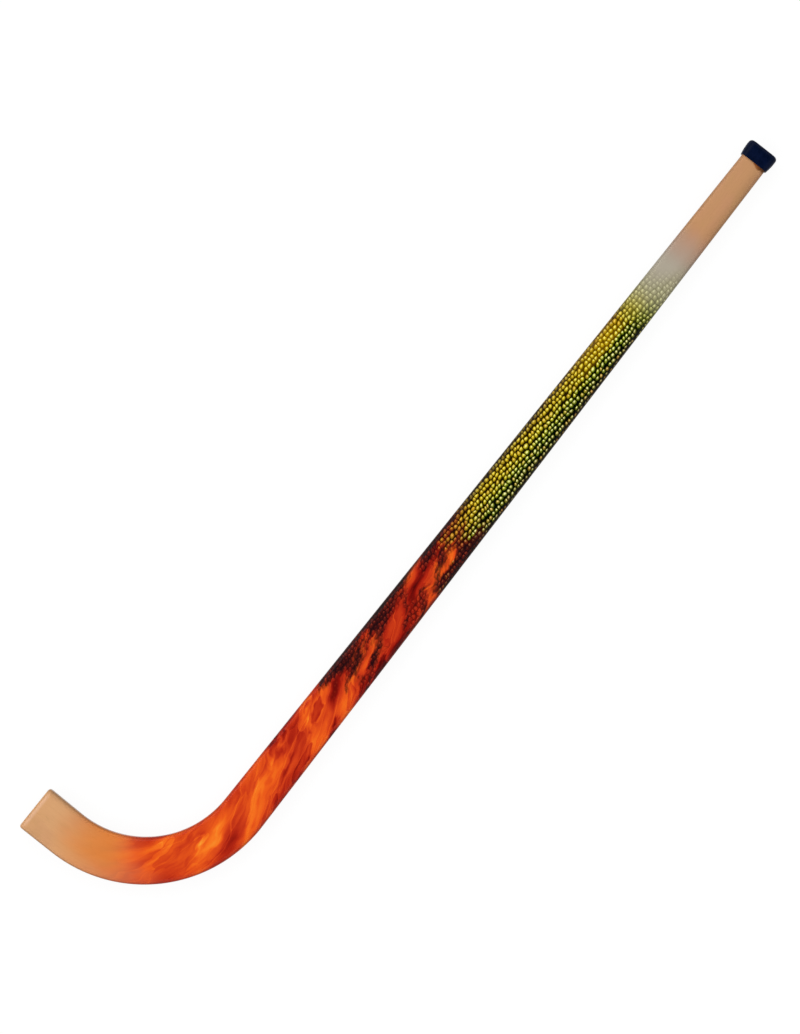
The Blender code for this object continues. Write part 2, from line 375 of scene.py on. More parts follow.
class Graph:
    """The nodes of a material or a world. Most methods take numbers, colours or other nodes' outputs, and
    give an output.
    """

    def __init__(self, owner, shader="Principled BSDF"):
        owner.use_nodes = True
        self.owner = owner
        self.nodes = owner.node_tree.nodes
        self.links = owner.node_tree.links
        self.shader = self.nodes[shader]

    def put(self, socket, value):
        if isinstance(value, bpy.types.NodeSocket):
            self.links.new(value, socket)
        else:
            socket.default_value = value

    def shade(self, values):
        """Gives the shader's inputs their values."""
        for name, value in values.items():
            self.put(self.shader.inputs[name], value)

    def add(self, kind, values=(), **settings):
        node = self.nodes.new(kind)
        for name, value in settings.items():
            setattr(node, name, value)
        for key, value in dict(values).items():
            self.put(node.inputs[key], value)
        return node

    def math(self, operation, *values):
        return self.add("ShaderNodeMath", enumerate(values), operation=operation).outputs[0]

    def plus(self, first, *others):
        for other in others:
            first = self.math("ADD", first, other)
        return first

    def minus(self, first, second):
        return self.math("SUBTRACT", first, second)

    def times(self, first, *others):
        for other in others:
            first = self.math("MULTIPLY", first, other)
        return first

    def centred(self, value):
        """A value of 0 to 1 brought to between -0.5 and 0.5."""
        return self.minus(value, 0.5)

    def line(self, value, slope, start):
        """The start plus the slope times the value."""
        return self.math("MULTIPLY_ADD", value, slope, start)

    def vector(self, operation, *values):
        node = self.add("ShaderNodeVectorMath", enumerate(values), operation=operation)
        return node.outputs["Value" if operation in ("LENGTH", "DOT_PRODUCT") else "Vector"]

    def attribute(self, name, output="Vector"):
        return self.add("ShaderNodeAttribute", attribute_name=name).outputs[output]

    def position_mm(self):
        position = self.add("ShaderNodeNewGeometry").outputs["Position"]
        return self.add("ShaderNodeVectorMath", {0: position, "Scale": 1 / MM}, operation="SCALE").outputs[0]

    def split(self, vector):
        return self.add("ShaderNodeSeparateXYZ", {0: vector}).outputs

    def join(self, x, y, z=0.0):
        return self.add("ShaderNodeCombineXYZ", {0: x, 1: y, 2: z}).outputs[0]

    def rotated(self, x, y, degrees):
        """Flat coordinates turned about the origin."""
        cosine, sine = math.cos(math.radians(degrees)), math.sin(math.radians(degrees))
        along = self.plus(self.times(x, cosine), self.times(y, sine))
        across = self.minus(self.times(y, cosine), self.times(x, sine))
        return along, across

    def step(self, value, span, first=0.0, last=1.0):
        """A smooth change from first to last as the value crosses the span, which may run downwards."""
        low, high = span
        values = {"Value": value, "From Min": low, "From Max": high, "To Min": first, "To Max": last}
        return self.add("ShaderNodeMapRange", values, interpolation_type="SMOOTHSTEP").outputs[0]

    def noise(self, at, size, detail=2.0, roughness=0.5, output=0):
        """Noise whose features have a size in each direction."""
        scaled = self.vector("DIVIDE", at, size)
        values = {"Vector": scaled, "Scale": 1.0, "Detail": detail, "Roughness": roughness}
        return self.add("ShaderNodeTexNoise", values, noise_dimensions="3D").outputs[output]

    def bent(self, at, by, size, reach, detail=2.0):
        """Coordinates shifted by noise, up to half the reach either way; by places them in the noise."""
        shift = self.noise(by, size, detail=detail, output="Color")
        return self.vector("MULTIPLY_ADD", self.vector("SUBTRACT", shift, MIDDLE_OF_NOISE), reach, at)

    def mix(self, amount, first, second):
        node = self.add("ShaderNodeMix", data_type="RGBA")
        for key, value in (("Factor_Float", amount), ("A_Color", first), ("B_Color", second)):
            socket = next(s for s in node.inputs if s.identifier == key)
            self.put(socket, linear(value) if isinstance(value, tuple) else value)
        return next(s for s in node.outputs if s.identifier == "Result_Color")

    def ramp(self, value, stops):
        """A colour that follows value through stops of (position, colour)."""
        node = self.add("ShaderNodeValToRGB", {0: value})
        elements = node.color_ramp.elements
        while len(elements) < len(stops):
            elements.new(0.5)
        for element, (position, colour) in zip(elements, stops):
            element.position = position
            element.color = linear(colour)
        return node.outputs[0]

    def bump(self, height, strength, distance):
        values = {"Height": height, "Strength": strength, "Distance": distance}
        self.shade({"Normal": self.add("ShaderNodeBump", values).outputs[0]})


class CoatGraph(Graph):
    """The coat's nodes, with the coordinates that its points keep. The share goes across the face from -1
    at the hook's inner edge to 1 at the outer edge, and on down the sides.
    """

    def __init__(self, owner):
        super().__init__(owner)
        self.at = self.attribute("print_mm")
        self.wood_at = self.attribute("wood_mm")
        self.along, self.arc, self.up = self.split(self.at)
        self.share = self.attribute("across_share", "Fac")
        self.outward = self.math("ABSOLUTE", self.share)


# Looks: sizes are in millimetres, places along the stick too, counted from the wood's end in the cap.
# Places across it are shares of half its width. A SPAN says where something begins and where it is full.

# Bare wood
WOOD_AT_BUTT = (193, 144, 102)
# Painted shade: the wood darker towards the outer edge
WOOD_SHADED_AT_OUTER_EDGE = (174, 130, 93)
# Painted shade: the wood darker along the inner edge
WOOD_SHADED_AT_INNER_EDGE = (168, 124, 84)
WOOD_AT_TOE = (214, 162, 114)
WOOD_RUDDY = (196, 140, 108)
WOOD_SALLOW = (182, 142, 92)
WOOD_PORE = (140, 94, 58)
WOOD_LATE = (172, 122, 80)
GLUE_LINE = (150, 104, 66)
OUTER_SHADE_SPAN = (0.0, 0.9)
INNER_SHADE_SPAN = (-0.7, -1.0)
INNER_SHADE = 0.5
TOE_TONE_SPAN = (300.0, 900.0)
BLOTCH_SIZE = (34.0, 14.0, 16.0)
BLOTCH_SPAN = (0.45, 0.75)
BLOTCH_AMOUNT = 0.3
RING_SIZE = (90.0, 1.3, 2.2)
RING_SPAN = (0.45, 0.75)
RING_AMOUNT = 0.06
PORE_SIZE = (6.0, 0.22, 0.22)
PORE_SPAN = (0.62, 0.74)
PORE_AMOUNT = 0.22

# Strips, the glue lines between them in strips' widths, and what the toe's end adds to make both plain
STRIPS_APART = 37.0
STRIP_AMOUNT = 0.06
STRIP_ADDED_ON_END = 0.5
GLUE_CORE = 0.015
GLUE_REACH = 0.045
GLUE_REACH_ADDED_ON_END = 0.05
GLUE_AMOUNT = 0.07
GLUE_ADDED_ON_END = 0.6
TOE_END_AT = (STICK_LENGTH - EDGE_RADIUS * 0.1) / MM
TOE_END_SPAN = (TOE_END_AT, TOE_END_AT + 3.0)


def ash_figure(graph, at):
    """Growth rings and fine pores that run along a strip."""
    rings = graph.noise(at, RING_SIZE, detail=3.0, roughness=0.6)
    pores = graph.noise(at, PORE_SIZE, detail=1.0)
    return rings, pores


def wood_colour(graph):
    """Bent ash strips under lacquer: a tone for each strip, growth rings, fine pores and thin glue lines."""
    along, across, _ = graph.split(graph.wood_at)
    in_strips = graph.plus(graph.math("DIVIDE", across, STRIP_PITCH / MM), 0.5)
    strip = graph.math("FLOOR", in_strips)
    tone = graph.add("ShaderNodeTexWhiteNoise", {"W": strip}, noise_dimensions="1D").outputs["Value"]
    apart = graph.times(strip, STRIPS_APART)
    shifted = graph.vector("ADD", graph.wood_at, graph.join(apart, 0.0, apart))
    rings, pores = ash_figure(graph, shifted)

    # Painted shade: the wood darker towards the outer edge
    wood = graph.mix(graph.step(graph.share, OUTER_SHADE_SPAN), WOOD_AT_BUTT, WOOD_SHADED_AT_OUTER_EDGE)
    wood = graph.mix(graph.step(along, TOE_TONE_SPAN), wood, WOOD_AT_TOE)
    # Painted shade along the inner edge
    shaded_at_inner_edge = graph.step(graph.share, INNER_SHADE_SPAN, 0.0, INNER_SHADE)
    wood = graph.mix(shaded_at_inner_edge, wood, WOOD_SHADED_AT_INNER_EDGE)
    ruddy, sallow, _ = graph.split(graph.noise(graph.wood_at, BLOTCH_SIZE, output="Color"))
    wood = graph.mix(graph.step(ruddy, BLOTCH_SPAN, 0.0, BLOTCH_AMOUNT), wood, WOOD_RUDDY)
    wood = graph.mix(graph.step(sallow, BLOTCH_SPAN, 0.0, BLOTCH_AMOUNT), wood, WOOD_SALLOW)
    wood = graph.mix(graph.step(rings, RING_SPAN, 0.0, RING_AMOUNT), wood, WOOD_LATE)
    wood = graph.mix(graph.step(pores, PORE_SPAN, 0.0, PORE_AMOUNT), wood, WOOD_PORE)

    on_end = graph.step(along, TOE_END_SPAN)
    tone_amount = graph.line(on_end, STRIP_ADDED_ON_END, STRIP_AMOUNT)
    wood = graph.mix(graph.times(tone, tone_amount), wood, WOOD_LATE)
    in_strip = graph.math("FRACT", in_strips)
    from_joint = graph.math("MINIMUM", in_strip, graph.minus(1.0, in_strip))
    glue = graph.step(from_joint, (graph.line(on_end, GLUE_REACH_ADDED_ON_END, GLUE_REACH), GLUE_CORE))
    glue_amount = graph.line(on_end, GLUE_ADDED_ON_END, GLUE_AMOUNT)
    wood = graph.mix(graph.times(glue, glue_amount), wood, GLUE_LINE)
    return wood, rings, pores


# Printed scales: the grid that they lie in
SCALE_PITCH = 4.6
SCALE_GRID = (SCALE_PITCH, SCALE_PITCH, 1.0)
SCALE_LOOSENESS = 0.40
ROW_SLOPE = 0.1
WAVE_SIZE = (20.0, 14.0, 30.0)
WAVE_REACH = (7.0, 4.6, 0.0)

# Printed scales: one scale, with its lengths in pitches
SCALE_SLANT = 30.0
SCALE_LENGTH, SCALE_BREADTH = 0.64, 0.38
HIGHLIGHT_AT = (0.34, 0.22, 0.0)
GAP_AT_INNER, GAP_AT_OUTER = 0.025, 0.04
GAP_SOFTNESS = 0.08
REACH_AT_INNER, REACH_AT_OUTER = 1.10, 1.00
REACH_BY_CHANCE = 0.14
REACH_FRESH = 0.25
REACH_SOFTNESS = 0.24
SHADE_SPAN = (0.5, 1.15)
LIT_SPAN = (1.45, 1.1)
LIT_FRESH = 0.5
SHINE_LEAST, SHINE_MOST = 0.44, 0.64
SHINE_CORE = 0.14
DIM_SPAN = (0.0, 0.5)
DIMMEST = 0.7

# Printed scales: colours of their parts from the inner edge, at 0, to the outer edge, at 1
SCALE_COLOURS = {
    "gap": (
        (0.0, (30, 20, 4)),
        (0.3, (34, 20, 0)),
        (0.5, (12, 10, 0)),
        (0.66, (3, 8, 0)),
        (0.8, (2, 7, 0)),
        (1.0, (5, 3, 2)),
    ),
    "shade": (
        (0.0, (78, 60, 14)),
        (0.2, (112, 90, 2)),
        (0.45, (84, 80, 0)),
        (0.62, (40, 58, 0)),
        (0.8, (24, 44, 4)),
        (1.0, (28, 22, 6)),
    ),
    "body": (
        (0.0, (138, 110, 32)),
        (0.2, (210, 178, 30)),
        (0.45, (196, 180, 32)),
        (0.62, (142, 154, 32)),
        (0.8, (124, 126, 36)),
        (1.0, (78, 62, 24)),
    ),
    "light": (
        (0.0, (216, 190, 106)),
        (0.2, (255, 240, 104)),
        (0.45, (255, 253, 146)),
        (0.62, (255, 255, 170)),
        (0.8, (255, 252, 176)),
        (1.0, (190, 168, 108)),
    ),
}
TONE_BY_CHANCE = 0.28

# Printed scales: tints of their parts, with the most that each takes, and where the tints lie
BRIGHT = {"gap": (0.75, (116, 82, 2)), "shade": (0.7, (160, 124, 4)), "body": (0.5, (198, 162, 14))}
BRIGHT_SPAN = (205.0, 235.0)
BRIGHT_END_SPAN = (320.0, 240.0)
BRIGHT_SIDE_SPAN = (0.1, -0.15)
RUSTY = {
    "gap": (1.0, (30, 12, 6)),
    "shade": (1.0, (90, 38, 10)),
    "body": (0.9, (162, 92, 20)),
    "light": (0.9, (236, 150, 52)),
}
AMBER = {"light": (1.0, (232, 160, 48)), "body": (0.6, (160, 100, 20))}
AMBER_CHANCE_SPAN = (0.84, 0.90)
AMBER_AMOUNT = 0.5
AMBER_SPAN = (190.0, 215.0)
FRESH_INNER = {
    "gap": (116, 106, 20),
    "shade": (144, 134, 42),
    "body": (184, 174, 78),
    "light": (226, 220, 122),
}
FRESH_OUTER = {
    "gap": (48, 54, 8),
    "shade": (84, 90, 24),
    "body": (146, 148, 58),
    "light": (212, 214, 132),
}
FRESH_SPAN = (222.0, 192.0)
FRESH_SIDE_SPAN = (-0.4, 0.6)
FAINT = {
    "gap": (1.0, (134, 130, 98)),
    "shade": (1.0, (156, 151, 120)),
    "body": (1.0, (166, 160, 128)),
    "light": (1.0, (204, 202, 160)),
}
FAINT_SPAN = (207.0, 170.0)
FAINT_ENDS_FIRST_AT_OUTER = 4.0
INNER_TO_OUTER_SPAN = (-0.3, 0.5)


class Scales:
    """A loose grid of pebble-like scales: how far each point is from its scale's edge, middle and highlight,
    and two random values of the scale.
    """

    def __init__(self, graph):
        row_at = graph.line(graph.along, ROW_SLOPE, graph.arc)
        at = graph.bent(graph.join(graph.along, row_at), graph.at, WAVE_SIZE, WAVE_REACH, detail=1.0)
        at = graph.vector("DIVIDE", at, SCALE_GRID)
        cells = {"Vector": at, "Scale": 1.0, "Randomness": SCALE_LOOSENESS}
        nearest = graph.add("ShaderNodeTexVoronoi", cells, voronoi_dimensions="2D", feature="F1")
        edges = graph.add("ShaderNodeTexVoronoi", cells, voronoi_dimensions="2D", feature="DISTANCE_TO_EDGE")
        self.from_edge = edges.outputs["Distance"]
        self.chance, self.other_chance, _ = graph.split(nearest.outputs["Color"])
        x, y, _ = graph.split(graph.vector("SUBTRACT", at, nearest.outputs["Position"]))
        length, breadth = graph.rotated(x, y, SCALE_SLANT)
        out = graph.vector("DIVIDE", graph.join(length, breadth), (SCALE_LENGTH, SCALE_BREADTH, 1.0))
        self.from_middle = graph.vector("LENGTH", out)
        self.from_light = graph.vector("LENGTH", graph.vector("ADD", out, HIGHLIGHT_AT))


def tint(graph, parts, amount, tints):
    """Moves the parts' colours towards their tints, each by the amount times the most that it takes."""
    for part, (most, colour) in tints.items():
        parts[part] = graph.mix(graph.times(amount, most), parts[part], colour)


def scale_colour(graph, misty, rust):
    """Yellow scales towards the hook's inner edge, dark green ones towards the outer edge, pale ones where
    they begin near the butt, and rusty ones where the flames begin.
    """
    scales = Scales(graph)
    share = graph.share
    tone = graph.plus(share, graph.times(graph.centred(scales.chance), TONE_BY_CHANCE))
    across = graph.line(tone, 0.5, 0.5)
    parts = {part: graph.ramp(across, stops) for part, stops in SCALE_COLOURS.items()}

    bright = graph.times(graph.step(misty, BRIGHT_END_SPAN), graph.step(misty, BRIGHT_SPAN))
    tint(graph, parts, graph.times(bright, graph.step(share, BRIGHT_SIDE_SPAN)), BRIGHT)
    tint(graph, parts, rust, RUSTY)
    by_chance = graph.step(scales.other_chance, AMBER_CHANCE_SPAN, 0.0, AMBER_AMOUNT)
    tint(graph, parts, graph.times(by_chance, graph.step(misty, AMBER_SPAN)), AMBER)
    outer = graph.step(share, FRESH_SIDE_SPAN)
    fresh = graph.step(misty, FRESH_SPAN)
    fresh_tints = {part: (1.0, graph.mix(outer, FRESH_INNER[part], FRESH_OUTER[part])) for part in parts}
    tint(graph, parts, fresh, fresh_tints)
    faint = graph.step(graph.line(outer, FAINT_ENDS_FIRST_AT_OUTER, misty), FAINT_SPAN)
    tint(graph, parts, faint, FAINT)

    narrow = graph.step(share, INNER_TO_OUTER_SPAN, GAP_AT_INNER, GAP_AT_OUTER)
    solid = graph.step(scales.from_edge, (narrow, graph.plus(narrow, GAP_SOFTNESS)))
    reach = graph.step(share, INNER_TO_OUTER_SPAN, REACH_AT_INNER, REACH_AT_OUTER)
    reach = graph.line(scales.chance, REACH_BY_CHANCE, reach)
    reach = graph.line(fresh, REACH_FRESH, reach)
    solid = graph.times(solid, graph.step(scales.from_middle, (reach, graph.minus(reach, REACH_SOFTNESS))))
    body = graph.mix(graph.step(scales.from_light, SHADE_SPAN), parts["body"], parts["shade"])
    lit = graph.step(graph.minus(scales.from_light, graph.times(fresh, LIT_FRESH)), LIT_SPAN)
    colour = graph.mix(graph.times(solid, lit), parts["gap"], body)
    size = graph.step(scales.chance, (0.0, 1.0), SHINE_LEAST, SHINE_MOST)
    shine = graph.times(graph.step(scales.from_light, (size, SHINE_CORE)), solid)
    dim = graph.step(scales.other_chance, DIM_SPAN, DIMMEST, 1.0)
    return graph.mix(graph.times(shine, dim), colour, parts["light"]), solid, shine


# Printed flames: their layers of streaks, each with a length, a breadth and a place of its own in the noise
FLAME_SLANT = 21.0
FLAME_DEPTH = 30.0
DRIFT_SIZE = (62.0, 34.0, 26.0)
DRIFT_REACH = (34.0, 20.0, 0.0)
FLICKER_SIZE = (18.0, 9.0, 8.0)
FLICKER_REACH = (7.0, 3.0, 0.0)
HEAT_LAYER = (70.0, 15.0, 0.0)
BROAD_LAYER = (90.0, 24.0, 3.1)
NARROW_LAYER = (52.0, 10.0, 11.7)
LICK_LAYER = (120.0, 16.0, 17.9)
BLOT_LAYER = (30.0, 12.0, 5.3)
GHOST_LAYER = (34.0, 14.0, 9.1)
SMOKE_LAYER = (40.0, 10.0, 7.3)

# Printed flames: how the layers and the place on the stick add to the heat, and the colours of heat
HEAT_CONTRAST = 1.7
HEAT_MIDDLE = 0.50
BROAD_FOLDS = 3.0
BROAD_HEAT = 0.18
NARROW_FOLDS = 2.2
NARROW_HEAT = 0.10
HOOK_SPAN = (700.0, 800.0)
HEAT_ON_SHAFT, HEAT_IN_HOOK = -0.07, 0.05
OUTER_EDGE_SPAN = (0.5, 0.9)
HEAT_ON_FACE, HEAT_AT_OUTER_EDGE = 0.02, -0.06
LICK_SPAN = (0.012, 0.0)
LICK_HEAT = 0.14
BLOT_SPAN = (0.56, 0.66)
BLOT_FADE_SPAN = (800.0, 700.0)
BLOT_IN_HOOK = 0.25
BLOT_HEAT = -0.34
CALM_HEAT = 0.68
CALM_SPAN = (850.0, 990.0)
CALM_AMOUNT = 0.6
HEAT_COLOURS = (
    (0.02, (84, 8, 8)),
    (0.18, (136, 18, 10)),
    (0.34, (176, 38, 18)),
    (0.50, (206, 62, 24)),
    (0.66, (232, 88, 26)),
    (0.82, (246, 118, 32)),
    (1.0, (246, 158, 52)),
)

# Printed flames: the scales that show through them
GHOST_SPAN = (0.50, 0.62)
GHOST_END_SPAN = (705.0, 640.0)
GHOST_HEAT_SPAN = (0.60, 0.40)
GHOST_GAP = (98, 14, 10)
GHOST_GAP_AMOUNT = 0.6
GHOST_LIGHT = (216, 84, 40)
GHOST_LIGHT_AMOUNT = 0.25


def flame_colour(graph, solid, shine):
    """Flames that run off slantwise, with scales showing through, and the smoke that drifts with them."""
    at = graph.bent(graph.at, graph.at, DRIFT_SIZE, DRIFT_REACH)
    at = graph.bent(at, graph.at, FLICKER_SIZE, FLICKER_REACH)
    x, y, _ = graph.split(at)
    run, side = graph.rotated(x, y, FLAME_SLANT)

    def streaks(layer, detail=2.0, roughness=0.5):
        length, breadth, apart = layer
        streak_at = graph.join(run, side, graph.plus(graph.up, apart * FLAME_DEPTH))
        return graph.noise(streak_at, (length, breadth, FLAME_DEPTH), detail=detail, roughness=roughness)

    def fold(layer, count):
        """A value that rises across each tongue of flame and drops at its crisp edge, from -0.5 to 0.5."""
        return graph.centred(graph.math("FRACT", graph.times(streaks(layer, detail=1.5), count)))

    heat = graph.line(graph.centred(streaks(HEAT_LAYER, detail=3.0)), HEAT_CONTRAST, HEAT_MIDDLE)
    heat = graph.line(fold(BROAD_LAYER, BROAD_FOLDS), BROAD_HEAT, heat)
    heat = graph.line(fold(NARROW_LAYER, NARROW_FOLDS), NARROW_HEAT, heat)
    in_hook = graph.step(graph.along, HOOK_SPAN, HEAT_ON_SHAFT, HEAT_IN_HOOK)
    at_edge = graph.step(graph.share, OUTER_EDGE_SPAN, HEAT_ON_FACE, HEAT_AT_OUTER_EDGE)
    lick = graph.math("ABSOLUTE", graph.centred(streaks(LICK_LAYER, detail=0.5)))
    heat = graph.plus(heat, in_hook, at_edge, graph.step(lick, LICK_SPAN, 0.0, LICK_HEAT))
    blot_fades = graph.step(graph.along, BLOT_FADE_SPAN, BLOT_IN_HOOK, 1.0)
    blot = graph.times(graph.step(streaks(BLOT_LAYER, detail=2.5), BLOT_SPAN), blot_fades)
    heat = graph.line(blot, BLOT_HEAT, heat)
    calm = graph.step(graph.along, CALM_SPAN, 0.0, CALM_AMOUNT)
    heat = graph.plus(heat, graph.times(graph.minus(CALM_HEAT, heat), calm))
    colour = graph.ramp(heat, HEAT_COLOURS)

    ghost = graph.step(streaks(GHOST_LAYER, detail=1.0), GHOST_SPAN)
    ghost = graph.times(ghost, graph.step(graph.along, GHOST_END_SPAN), graph.step(heat, GHOST_HEAT_SPAN))
    ghost_gap = graph.times(ghost, graph.minus(1.0, solid), GHOST_GAP_AMOUNT)
    colour = graph.mix(ghost_gap, colour, GHOST_GAP)
    colour = graph.mix(graph.times(ghost, shine, GHOST_LIGHT_AMOUNT), colour, GHOST_LIGHT)
    return colour, streaks(SMOKE_LAYER, detail=4.0, roughness=0.6)


# Charred scales: where the smoke that chars them gathers
SMOKE_CONTRAST = 1.4
SMOKE_BASE = -0.2
INNER_SMOKE_SPAN = (-0.35, -0.9)
INNER_SMOKE = 0.26
DEEP_SMOKE_SPAN = (0.1, -0.6)
DEEP_SMOKE_FROM_SPAN = (540.0, 600.0)
DEEP_SMOKE = 0.12
OUTER_SMOKE_SPAN = (0.3, 0.8)
OUTER_SMOKE_END_SPAN = (560.0, 520.0)
OUTER_SMOKE = 0.3
SMOKE_END_SPAN = (650.0, 740.0)
SMOKE_END = 0.8
CHAR_SPAN = (472.0, 506.0)
CHAR_RAGGED = 30.0

# Charred scales: their colours
SOOT_SPAN = (0.46, 0.62)
SOOT_AMOUNT = 0.8
SOOT_GAP = (70, 12, 10)
SOOT_BODY = (134, 26, 16)
SOOT_LIGHT = (196, 66, 34)
SOOT_LIGHT_AMOUNT = 0.6
BLACK_SPAN = (0.54, 0.74)
BLACK_AMOUNT = 0.94
BLACK_GAP = (30, 11, 15)
BLACK_BODY = (84, 23, 18)
EMBER = (176, 66, 44)
EMBER_AMOUNT = 0.45
GLOW_SIZE = (12.0, 6.0, 12.0)
GLOW_SPAN = (0.36, 0.64)
GLOW_LEAST = 0.1


def char_over(graph, colour, smoke, solid, shine):
    """Charred scales with embers among them, along the inner edge and round the start of the flames."""
    along, share = graph.along, graph.share
    inner = graph.step(share, INNER_SMOKE_SPAN, 0.0, INNER_SMOKE)
    deep = graph.step(share, DEEP_SMOKE_SPAN, 0.0, DEEP_SMOKE)
    deep = graph.times(deep, graph.step(along, DEEP_SMOKE_FROM_SPAN))
    outer = graph.step(share, OUTER_SMOKE_SPAN, 0.0, OUTER_SMOKE)
    outer = graph.times(outer, graph.step(along, OUTER_SMOKE_END_SPAN))
    smoke = graph.plus(graph.line(smoke, SMOKE_CONTRAST, SMOKE_BASE), inner, deep, outer)
    smoke = graph.minus(smoke, graph.step(along, SMOKE_END_SPAN, 0.0, SMOKE_END))
    begins = graph.step(graph.line(smoke, CHAR_RAGGED, along), CHAR_SPAN)

    sooty = graph.mix(solid, SOOT_GAP, SOOT_BODY)
    sooty = graph.mix(graph.times(shine, SOOT_LIGHT_AMOUNT), sooty, SOOT_LIGHT)
    soot = graph.times(graph.step(smoke, SOOT_SPAN), begins, SOOT_AMOUNT)
    colour = graph.mix(soot, colour, sooty)
    glow = graph.step(graph.noise(graph.at, GLOW_SIZE, detail=3.0), GLOW_SPAN, GLOW_LEAST, 1.0)
    charred = graph.mix(graph.times(solid, glow), BLACK_GAP, BLACK_BODY)
    charred = graph.mix(graph.times(shine, glow, EMBER_AMOUNT), charred, EMBER)
    black = graph.times(graph.step(smoke, BLACK_SPAN), begins, BLACK_AMOUNT)
    return graph.mix(black, colour, charred)


# The print's borders, which are ragged and mist over
RAGGED_SIZE = (24.0, 9.0, 12.0)
RAGGED_REACH = 90.0
MIST_SHARE = 0.12
GREY_BASE = (172, 163, 146)
# Painted shade: the grey darker towards the outer edge
GREY_SHADED_AT_OUTER = (160, 150, 130)
GREY_SHADE_SPAN = (0.0, 0.9)
SCALES_SPAN = (150.0, 182.0)
SCALES_SIDE_SPAN = (-0.6, 0.6)
SCALES_FIRST_AT_OUTER = 12.0
FLAMES_SPAN = (494.0, 508.0)
FLAMES_SIDE_SPAN = (0.2, 0.9)
FLAMES_LAG_AT_OUTER = 40.0
RUST_SPAN = (440.0, 500.0)
RUST_SIDE_SPAN = (0.75, 0.2)


def print_colour(graph, ragged, misty):
    """The print: grey at its start, then scales, charred scales and flames."""
    outer_lag = graph.step(graph.share, FLAMES_SIDE_SPAN, 0.0, FLAMES_LAG_AT_OUTER)
    flame_front = graph.minus(graph.plus(graph.along, ragged), outer_lag)
    rust = graph.times(graph.step(flame_front, RUST_SPAN), graph.step(graph.share, RUST_SIDE_SPAN))
    scales, solid, shine = scale_colour(graph, misty, rust)
    flames, smoke = flame_colour(graph, solid, shine)
    printed = graph.mix(graph.step(flame_front, FLAMES_SPAN), scales, flames)
    printed = char_over(graph, printed, smoke, solid, shine)
    # Painted shade: the grey darker towards the outer edge
    grey = graph.mix(graph.step(graph.share, GREY_SHADE_SPAN), GREY_BASE, GREY_SHADED_AT_OUTER)
    outer_first = graph.step(graph.share, SCALES_SIDE_SPAN, 0.0, SCALES_FIRST_AT_OUTER)
    return graph.mix(graph.step(graph.plus(misty, outer_first), SCALES_SPAN), grey, printed)


# Where the print fades into bare wood, and the tints there
PRINT_SPAN = (98.0, 140.0)
PRINT_END_SPAN = (1056.0, 936.0)
PRINT_END_RAGGED = 0.25
PRINT_END_SIDE_SPAN = (-0.2, 0.8)
PRINT_ENDS_FIRST_AT_OUTER = 16.0
BLUSH = (170, 132, 120)
BLUSH_SPAN = (92.0, 118.0)
BLUSH_END_SPAN = (148.0, 126.0)
BLUSH_AMOUNT = 0.35
GOLD = (216, 132, 54)
GOLD_SPAN = (952.0, 986.0)
GOLD_END_SPAN = (1050.0, 1000.0)
GOLD_AMOUNT = 0.6
GOLD_SIDE_SPAN = (0.9, 0.1)
GOLD_AT_OUTER = 0.35


def fade_into_wood(graph, wood, printed, ragged, misty):
    """The print between its two fades, and how much of it covers the wood."""
    outer_first = graph.step(graph.share, PRINT_END_SIDE_SPAN, 0.0, PRINT_ENDS_FIRST_AT_OUTER)
    fading = graph.plus(graph.line(ragged, PRINT_END_RAGGED, graph.along), outer_first)
    film = graph.times(graph.step(misty, PRINT_SPAN), graph.step(fading, PRINT_END_SPAN))
    colour = graph.mix(film, wood, printed)
    blush = graph.times(graph.step(misty, BLUSH_SPAN), graph.step(misty, BLUSH_END_SPAN, 0.0, BLUSH_AMOUNT))
    colour = graph.mix(blush, colour, BLUSH)
    gold = graph.step(graph.along, GOLD_END_SPAN, 0.0, GOLD_AMOUNT)
    gold = graph.times(gold, graph.step(graph.along, GOLD_SPAN))
    gold = graph.times(gold, graph.step(graph.share, GOLD_SIDE_SPAN, GOLD_AT_OUTER, 1.0))
    return graph.mix(gold, colour, GOLD), film


# A painted highlight on the toe's end, paler where it rounds off
TOE_ROUNDS_AT = (STICK_LENGTH - EDGE_RADIUS) / MM
TOE_HIGHLIGHT = (238, 194, 166)
TOE_HIGHLIGHT_SPAN = (TOE_ROUNDS_AT - 1.4, TOE_ROUNDS_AT + 1.6)
TOE_HIGHLIGHT_END_SPAN = (TOE_ROUNDS_AT + 4.5, TOE_ROUNDS_AT + 2.4)
TOE_HIGHLIGHT_SIDE_SPAN = (1.0, 0.6)
TOE_HIGHLIGHT_AMOUNT = 0.38

# Painted shade: the sides darker than the faces, and the outermost scales darker still
PAINTED_SIDE_SHADE = (36, 20, 10)
SIDE_BEGINS_AT_BUTT = 0.80
SIDE_BEGINS_AT_HOOK = 0.88
SIDE_SOFTNESS = 0.12
SIDE_SPAN = (60.0, 330.0)
SIDE_AT_BUTT, SIDE_AT_SCALES = 0.08, 0.3
SIDE_END_SPAN = (TOE_ROUNDS_AT + 5.0, TOE_ROUNDS_AT)
PAINTED_BRIM_SHADE = (10, 6, 2)
BRIM_SPAN = (210.0, 260.0)
BRIM_END_SPAN = (660.0, 580.0)
BRIM_SIDE_SPAN = (-0.5, 0.5)
BRIM_LATER_AT_INNER = -100.0
BRIM_OUTWARD_SPAN = (0.78, 0.90)
BRIM_AMOUNT = 0.45
BRIM_DOWN_SPAN = (1.3, 1.12)


